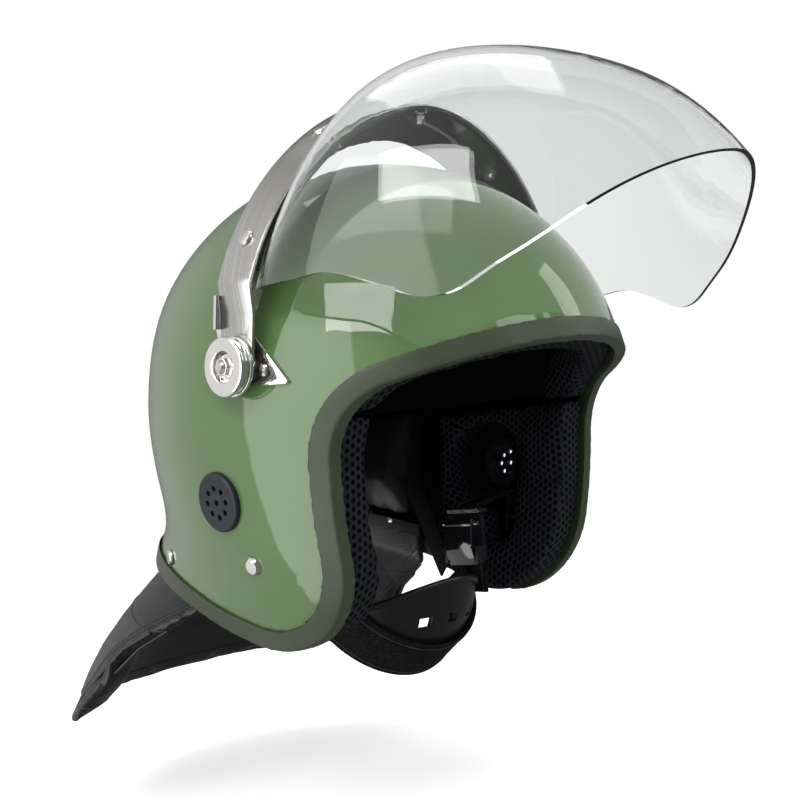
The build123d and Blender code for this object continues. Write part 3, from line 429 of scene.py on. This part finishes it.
washer_plastic = finish("washer_plastic", (0.04, 0.04, 0.04), 0.6)
relief(washer_plastic, noise(washer_plastic, 800), 0.1, 0.0002)
liner_foam = finish("liner_foam", (0.003, 0.003, 0.003), 0.95, specular=0.05)
relief(liner_foam, cells(liner_foam, 500, 1.0), 0.3, 0.0006)

# %% [markdown]
# Soft goods: spacer mesh with round holes on the brow, crown and cheek pads, black leathercloth on the
# nape roll and the neck guard, and ribbed webbing in the harness. The mesh pitch is in metres.

# %% Fabrics and leathercloth
mesh_pitch = 0.0042
mesh_fabric = finish("mesh_fabric", (0.006, 0.006, 0.007), 0.8, specular=0.08)
mesh_holes = honeycomb(mesh_fabric, mesh_pitch)
# Painted shade: the sunk holes are coloured nearly black, as the shade inside them looks.
color_from(mesh_fabric, ramp(mesh_fabric, mesh_holes, 0.0, 0.9, (0.014, 0.016, 0.02), (0.0005, 0.0005, 0.0006)))
relief(mesh_fabric, mesh_holes, 0.6, -0.0012)
leathercloth = finish("black_leather", (0.007, 0.007, 0.009), 0.36, specular=0.4)
grain = relief(leathercloth, cells(leathercloth, 900, 1.0), 0.22, 0.0004)
relief(leathercloth, noise(leathercloth, 34, 4.0), 0.35, 0.0022, grain)
roughness_from(leathercloth, noise(leathercloth, 50), 0.28, 0.48)
webbing = finish("webbing", (0.004, 0.004, 0.005), 0.75, specular=0.1)
ribs = noise(webbing, 1, 1.0, (900, 260, 900))
color_from(webbing, ramp(webbing, ribs, 0.35, 0.65, (0.0015, 0.0015, 0.002), (0.009, 0.009, 0.01)))
relief(webbing, ribs, 0.5, 0.0005)
thread = finish("stitch_thread", (0.02, 0.02, 0.022), 0.6)
relief(thread, noise(thread, 2500), 0.3, 0.0002)

# %% [markdown]
# The visor is 3 mm clear polycarbonate with a slight smoke tint. Its two faces are both in the mesh, so
# a glass shader refracts as the real sheet does, and the tint sits in the transmission colour.

# %% Clear visor
clear_visor = finish("clear_visor", (0.86, 0.875, 0.87), 0.0, specular=0.5)
visor_shader = shader_of(clear_visor)
visor_shader.inputs["Transmission Weight"].default_value = 1.0
visor_shader.inputs["IOR"].default_value = 1.45
relief(clear_visor, noise(clear_visor, 7, 1.0), 0.03, 0.001)

# %% Finishes on the CAD nodes
node_finish = {
    "shell": shell_paint, "edge_trim": trim_rubber, "impact_liner": liner_foam, "crown_pad": mesh_fabric,
    "brow_pad": mesh_fabric, "nape_pad": leathercloth, "cheek_pad": mesh_fabric, "ear_cap": black_plastic,
    "ear_clip": black_plastic, "pivot_plate": chrome, "plate_screws": chrome, "pivot_bolt": zinc,
    "pivot_backing": black_plastic, "friction_washer": washer_plastic, "pivot_knob": chrome, "pivot_nut": zinc,
    "visor_bail": brushed, "bail_seal": seal_rubber, "visor": clear_visor, "visor_screws": zinc,
    "visor_nuts": zinc, "strap_rivets": chrome, "chin_strap": webbing, "chin_cup": cup_plastic,
    "chin_band": webbing, "nape_strap": webbing, "buckle_frame": black_plastic, "buckle_pin": zinc,
    "buckle_lever": gloss_black, "strap_ring": zinc, "neck_guard": leathercloth,
    "neck_guard_batten": black_plastic, "neck_guard_screws": zinc,
}
for name, node in nodes.items():
    family = name.removesuffix("_right").removesuffix("_left")
    node.data.materials.clear()
    node.data.materials.append(node_finish[family])
print("finishes:", len(made_finishes))

# %% [markdown]
# Soft pieces start as copies of their CAD solids, so they sit exactly where the hard parts leave room.
# A CAD mesh is loose triangles, so each copy is merged first. A voxel remesh then gives it even, small
# faces that can stretch and be smoothed.

# %% Copies of CAD solids
def rigid_copy(name, *node_names):
    """One merged object with its own mesh, copied from one or more CAD nodes."""
    parts = []
    for node_name in node_names:
        part = bpy.data.objects.new(name, nodes[node_name].data.copy())
        scene.collection.objects.link(part)
        parts.append(part)
    choose(*parts)
    if len(parts) > 1:
        bpy.ops.object.join()
    piece = bpy.context.view_layer.objects.active
    piece.name = name
    bpy.ops.object.mode_set(mode="EDIT")
    bpy.ops.mesh.select_all(action="SELECT")
    bpy.ops.mesh.remove_doubles(threshold=0.01 * millimetre)
    bpy.ops.mesh.normals_make_consistent(inside=False)
    bpy.ops.object.mode_set(mode="OBJECT")
    return piece


def dress(piece, material, body, slot, *replaced):
    """Finish, body and the nodes that a piece stands for; the slot is not used."""
    piece.data.materials.clear()
    piece.data.materials.append(material)
    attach(piece, body)
    if replaced:
        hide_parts(*replaced)


def apply_modifier(piece, kind, **settings):
    """Adds one modifier with its settings and applies it."""
    choose(piece)
    modifier = piece.modifiers.new(kind.lower(), kind)
    for key, value in settings.items():
        setattr(modifier, key, value)
    bpy.ops.object.modifier_apply(modifier=modifier.name)


def round_off(piece, voxel, passes):
    """Even faces of one size, then smoothing, which rounds every hard edge."""
    apply_modifier(piece, "REMESH", mode="VOXEL", voxel_size=voxel)
    apply_modifier(piece, "SMOOTH", factor=0.5, iterations=passes)
    choose(piece)
    bpy.ops.object.shade_smooth()


# %% [markdown]
# The edge trim is an extruded rubber channel that is pushed over the rim. Its lips are round, so a copy
# of the CAD channel is remeshed at about a millimetre and smoothed until a bead runs along the rim. Its
# faces then sink a little, which makes the lips slimmer.

# %% Rounded edge bead
bead_voxel = 0.95 * millimetre
bead_passes = 9
bead_slimming = 0.7 * millimetre
edge_bead = rigid_copy("edge_bead", "edge_trim")
round_off(edge_bead, bead_voxel, bead_passes)
apply_modifier(edge_bead, "DISPLACE", strength=-bead_slimming, mid_level=0.0)
dress(edge_bead, trim_rubber, "shell_body", "trim_rubber", "edge_trim")
print("edge bead faces:", len(edge_bead.data.polygons))

# %% [markdown]
# Pads are blown up a little, as their foam is by its cover. Blender's Cloth does it with inner pressure
# and no gravity. Only the faces that look towards the wearer may move, because the others are glued to
# the shell, and no point moves further than a cap.

# %% Padded pieces
head_middle = Vector((0, 5, 100)) * millimetre
facing_offset = 0.15
facing_gain = 1.1
cloth_steps = 20
cloth_quality = 4


def towards_head(place, normal):
    """How much a face of a pad looks at the wearer's head, from 0 to 1."""
    inward = (head_middle - place).normalized()
    return min(1.0, max(0.0, facing_offset + facing_gain * normal.dot(inward)))


def blow_up(piece, voxel, pressure, cap, weight, passes=2):
    """Voxel remesh, Cloth with pressure, a cap on the movement, and one subdivision."""
    round_off(piece, voxel, passes)
    rest = [vertex.co.copy() for vertex in piece.data.vertices]
    share = [weight(vertex.co, vertex.normal) for vertex in piece.data.vertices]
    choose(piece)
    cloth = piece.modifiers.new("cloth", "CLOTH")
    cloth.settings.use_pressure = True
    cloth.settings.uniform_pressure_force = pressure
    cloth.settings.effector_weights.gravity = 0
    cloth.settings.quality = cloth_quality
    cloth.collision_settings.use_collision = False
    for step in range(1, cloth_steps + 1):
        scene.frame_set(step)
    blown = piece.evaluated_get(bpy.context.evaluated_depsgraph_get()).data
    for vertex, start, part, moved in zip(piece.data.vertices, rest, share, blown.vertices):
        shift = moved.co - start
        if shift.length > cap:
            shift = shift.normalized() * cap
        vertex.co = start + shift * part
    piece.modifiers.remove(cloth)
    scene.frame_set(1)
    apply_modifier(piece, "SMOOTH", factor=0.5, iterations=passes)
    apply_modifier(piece, "SUBSURF", levels=1, render_levels=1)
    choose(piece)
    bpy.ops.object.shade_smooth()


def cushion(name, node_name, voxel, pressure, cap, material, slot):
    """A padded piece that swells towards the head and stands for its CAD solid."""
    piece = rigid_copy(name, node_name)
    blow_up(piece, voxel * millimetre, pressure, cap * millimetre, towards_head)
    dress(piece, material, "shell_body", slot, node_name)
    return piece


pads = [
    cushion("cheek_cushion_right", "cheek_pad_right", 3.5, 4, 5, mesh_fabric, "mesh_fabric"),
    cushion("cheek_cushion_left", "cheek_pad_left", 3.5, 4, 5, mesh_fabric, "mesh_fabric"),
    cushion("brow_cushion", "brow_pad", 3.5, 4, 4, mesh_fabric, "mesh_fabric"),
    cushion("crown_cushion", "crown_pad", 5, 4, 5, mesh_fabric, "mesh_fabric"),
    cushion("nape_roll", "nape_pad", 4, 4, 5, leathercloth, "black_leather"),
]
print("pads:", [len(pad.data.polygons) for pad in pads])

# %% [markdown]
# The neck guard is a thin foam curtain in leathercloth. Its two lower front corners are drawn forward
# first, which widens the flaps. Then it swells on both faces, but not where it is tucked behind the
# trim, so the movement fades out above the rim.

# %% Neck guard
guard_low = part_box("neck_guard")[0]
guard_voxel = 3 * millimetre
guard_pressure = 5
guard_cap = 4 * millimetre
tuck_level = 20 * millimetre
tuck_fade = 30 * millimetre
corner_x, corner_y, corner_z = Vector((120, 150, -34)) * millimetre
corner_reach = 16 * millimetre
corner_shift = Vector((0, -16, -4)) * millimetre
corner_blend = 55 * millimetre


def below_rim(place, normal):
    """The curtain moves freely low down and not at all at its top."""
    return min(1.0, max(0.0, (tuck_level - place.z) / tuck_fade))


guard = rigid_copy("neck_curtain", "neck_guard")
choose(guard)
bpy.ops.object.mode_set(mode="EDIT")
bpy.ops.mesh.select_mode(type="VERT")
for side_x in (-corner_x, corner_x):
    corner = Vector((side_x, corner_y, corner_z))
    bpy.ops.mesh.select_all(action="DESELECT")
    bpy.ops.object.mode_set(mode="OBJECT")
    for vertex in guard.data.vertices:
        vertex.select = (vertex.co - corner).length < corner_reach
    bpy.ops.object.mode_set(mode="EDIT")
    bpy.ops.transform.translate(
        value=corner_shift, use_proportional_edit=True, proportional_edit_falloff="SMOOTH",
        proportional_size=corner_blend,
    )
bpy.ops.object.mode_set(mode="OBJECT")
blow_up(guard, guard_voxel, guard_pressure, guard_cap, below_rim)
dress(guard, leathercloth, "shell_body", "black_leather", "neck_guard")
print("neck guard faces:", len(guard.data.polygons))

# %% [markdown]
# Seams, piping and stitches are thin tubes that lie on the finished surface. A plane cuts a copy of the
# piece, only the cut line is kept, and that line becomes a round thread. Piping starts from the sharp
# edges of the CAD solid instead, and is pulled onto the swollen surface.

# %% Threads and piping
sharp_angle = radians(35)
piping_radius = 1.3 * millimetre
hem_thread = 0.45 * millimetre
seam_thread = 0.5 * millimetre
side_thread = 0.4 * millimetre
piping_top = 12 * millimetre
hem_rise = 9 * millimetre
cross_seam_place = Vector((0, 0, -4)) * millimetre
cross_seam_normal = Vector((0, -0.16, 1))
rim_end = Vector((-97, 61, 18)) * millimetre
side_seam_normal = Vector((0.331, 0.563, 0.758))
side_seam_insets = (8 * millimetre, 11 * millimetre)


def tube(line, name, radius, material, body, slot):
    """Turns a mesh of edges into a round tube, shaded smooth."""
    choose(line)
    bpy.ops.object.convert(target="CURVE")
    line = bpy.context.view_layer.objects.active
    line.data.bevel_depth = radius
    line.data.bevel_resolution = 1
    line.data.use_fill_caps = True
    bpy.ops.object.convert(target="MESH")
    line = bpy.context.view_layer.objects.active
    line.name = name
    line.data.name = name
    choose(line)
    bpy.ops.object.shade_smooth()
    dress(line, material, body, slot)
    return line


def cut_line(source, name, place, normal):
    """The edges in which a plane cuts a piece, as an object of its own."""
    line = bpy.data.objects.new(name, source.data.copy())
    scene.collection.objects.link(line)
    choose(line)
    bpy.ops.object.mode_set(mode="EDIT")
    bpy.ops.mesh.select_all(action="SELECT")
    bpy.ops.mesh.bisect(plane_co=place, plane_no=normal, clear_inner=True, clear_outer=True)
    bpy.ops.object.mode_set(mode="OBJECT")
    return line


def sharp_line(source_node, name, keep, surface=None):
    """The sharp edges of a CAD solid that keep() accepts, pulled onto a surface where one is given."""
    line = rigid_copy(name, source_node)
    choose(line)
    bpy.ops.object.mode_set(mode="EDIT")
    bpy.ops.mesh.select_mode(type="EDGE")
    bpy.ops.mesh.select_all(action="DESELECT")
    bpy.ops.mesh.edges_select_sharp(sharpness=sharp_angle)
    bpy.ops.object.mode_set(mode="OBJECT")
    for edge in line.data.edges:
        ends = [line.data.vertices[index].co for index in edge.vertices]
        if not all(keep(end) for end in ends):
            edge.select = False
    kept = sum(edge.select for edge in line.data.edges)
    bpy.ops.object.mode_set(mode="EDIT")
    bpy.ops.mesh.select_all(action="INVERT")
    bpy.ops.mesh.delete(type="EDGE")
    bpy.ops.mesh.select_all(action="SELECT")
    bpy.ops.object.mode_set(mode="OBJECT")
    if surface is not None:
        apply_modifier(line, "SHRINKWRAP", target=surface, wrap_method="NEAREST_SURFACEPOINT")
    print(name, "edges:", kept)
    return line


piping = sharp_line("neck_guard", "guard_piping", lambda place: place.z < piping_top, guard)
tube(piping, "guard_piping", piping_radius, leathercloth, "shell_body", "black_leather")
hem = cut_line(guard, "guard_hem_stitch", (0, 0, guard_low.z + hem_rise), (0, 0, 1))
tube(hem, "guard_hem_stitch", hem_thread, thread, "shell_body", "black_leather")
cross = cut_line(guard, "guard_cross_seam", cross_seam_place, cross_seam_normal)
tube(cross, "guard_cross_seam", seam_thread, thread, "shell_body", "black_leather")
for side, mirror in (("right", 1), ("left", -1)):
    turn_over = Vector((mirror, 1, 1))
    for number, inset in enumerate(side_seam_insets):
        place = (rim_end + side_seam_normal * inset) * turn_over
        seam = cut_line(guard, "guard_side_seam", place, side_seam_normal * turn_over)
        seam_name = f"guard_side_seam_{side}_{number + 1}"
        tube(seam, seam_name, side_thread, thread, "shell_body", "black_leather")

# %% [markdown]
# Webbing is woven flat, with a stitched line near each edge. The CAD straps are plain bands, so copies get a
# small bevel on every edge, and two planes along each front strap and the chin band give their stitch lines;
# the rear straps get none.

# %% Webbing straps
strap_break = 0.45 * millimetre
strap_thread = 0.3 * millimetre
rivet_y = -11.5 * millimetre
strap_seam_inset = 7.5 * millimetre
band_turn = radians(37)
band_axis = Vector((0, -cos(band_turn), sin(band_turn)))
band_middle = Vector((0, 8, 20)) * millimetre
band_seam_inset = 11 * millimetre
soft_edge_angle = radians(30)
soft_shading_angle = radians(40)


def smooth_copy(name, node_name, width, angle, shading, material, body, slot):
    """A copy of a CAD node, bevelled where it bends by more than an angle, that stands for the node."""
    piece = rigid_copy(name, node_name)
    apply_modifier(piece, "BEVEL", width=width, segments=2, limit_method="ANGLE", angle_limit=angle)
    choose(piece)
    bpy.ops.object.shade_smooth_by_angle(angle=shading)
    dress(piece, material, body, slot, node_name)
    return piece


def strap(name, node_name, lines):
    """A bevelled copy of a strap, with stitch lines where the given planes cut it."""
    piece = smooth_copy(
        name, node_name, strap_break, soft_edge_angle, soft_shading_angle, webbing, "shell_body", "webbing"
    )
    for number, (place, normal) in enumerate(lines):
        stitch = cut_line(piece, name + "_stitch", place, normal)
        tube(stitch, f"{name}_stitch_{number + 1}", strap_thread, thread, "shell_body", "webbing")


seam_planes = [((0, rivet_y + inset, 0), (0, 1, 0)) for inset in (-strap_seam_inset, strap_seam_inset)]
for side in ("right", "left"):
    strap("front_strap_" + side, "chin_strap_" + side, seam_planes)
    strap("rear_strap_" + side, "nape_strap_" + side, [])
band_planes = [(band_middle + band_axis * inset, band_axis) for inset in (-band_seam_inset, band_seam_inset)]
strap("chin_webbing", "chin_band", band_planes)

# %% [markdown]
# The chin cup is a moulded shell with a raised rim round its outline. Its outline edges are taken from
# the CAD solid, without those of the three slots, and a round bead follows them.

# %% Chin cup
cup_break = 0.5 * millimetre
cup_inner_reach = 49 * millimetre
cup_rim_radius = 1.9 * millimetre
slot_half_width = 24 * millimetre
slot_floor = -2 * millimetre
slot_top = 6 * millimetre
smooth_copy(
    "moulded_cup", "chin_cup", cup_break, soft_edge_angle, soft_shading_angle, cup_plastic, "shell_body",
    "cup_plastic",
)


def on_cup_outline(place):
    """Outer skin only, and not beside the slots."""
    outside = (place - band_middle).length > cup_inner_reach
    beside_slot = abs(place.x) < slot_half_width and slot_floor < place.z < slot_top
    return outside and not beside_slot


cup_rim = sharp_line("chin_cup", "cup_rim", on_cup_outline)
tube(cup_rim, "cup_rim", cup_rim_radius, cup_plastic, "shell_body", "cup_plastic")

# %% [markdown]
# Stamped and turned metal has broken edges that catch the light. Copies of the hardware get a small
# bevel on every sharp edge and smooth shading between, so each edge shows as a thin bright line.

# %% Hardware with broken edges
hard_edge_angle = radians(30)
hard_shading_angle = radians(35)


def broken_edges(name, node_name, width, material, body, slot):
    """A bevelled, smoothly shaded copy of a metal or plastic part; the width is in millimetres."""
    smooth_copy(
        name, node_name, width * millimetre, hard_edge_angle, hard_shading_angle, material, body, slot
    )


for side in ("right", "left"):
    broken_edges("stop_plate_" + side, "pivot_plate_" + side, 0.3, chrome, "shell_body", "chrome_plate")
    broken_edges("hinge_knob_" + side, "pivot_knob_" + side, 0.35, chrome, "knob_" + side, "chrome_plate")
    broken_edges("lock_nut_" + side, "pivot_nut_" + side, 0.25, zinc, "shell_body", "zinc_steel")
broken_edges("chin_rivets", "strap_rivets", 0.5, chrome, "shell_body", "chrome_plate")
broken_edges("plate_screw_heads", "plate_screws", 0.2, chrome, "shell_body", "chrome_plate")
broken_edges("frame_screw_heads", "visor_screws", 0.35, zinc, "visor_frame", "zinc_steel")
broken_edges("guard_screw_heads", "neck_guard_screws", 0.35, zinc, "shell_body", "zinc_steel")
broken_edges("buckle_body", "buckle_frame", 0.4, black_plastic, "shell_body", "black_plastic")
broken_edges("buckle_flap", "buckle_lever", 0.3, gloss_black, "buckle_lever", "gloss_black")
broken_edges("frame_strap", "visor_bail", 0.3, brushed, "visor_frame", "brushed_strap")
print("hardware done")

# %% [markdown]
# Painted shade: deep inside the helmet the shell lies in shade, so the faces of the CAD shell that look at the
# head get a second, nearly black material slot; the mesh itself stays as it is.

# %% Painted shade inside the shell
# Painted shade: a nearly black finish that stands in for the shade inside the shell.
inside_shade_paint = finish("painted_shade_inside", (0.003, 0.003, 0.003), 0.95, specular=0.05)
relief(inside_shade_paint, noise(inside_shade_paint, 900), 0.3, 0.0004)
shell = nodes["shell"]
shell.data.materials.append(inside_shade_paint)
shell_middle = Vector((0, -2, 110)) * millimetre
inner_faces = [face for face in shell.data.polygons if face.normal.dot(face.center - shell_middle) < 0]
for face in inner_faces:
    face.material_index = 1
print("faces inside the shell:", len(inner_faces))
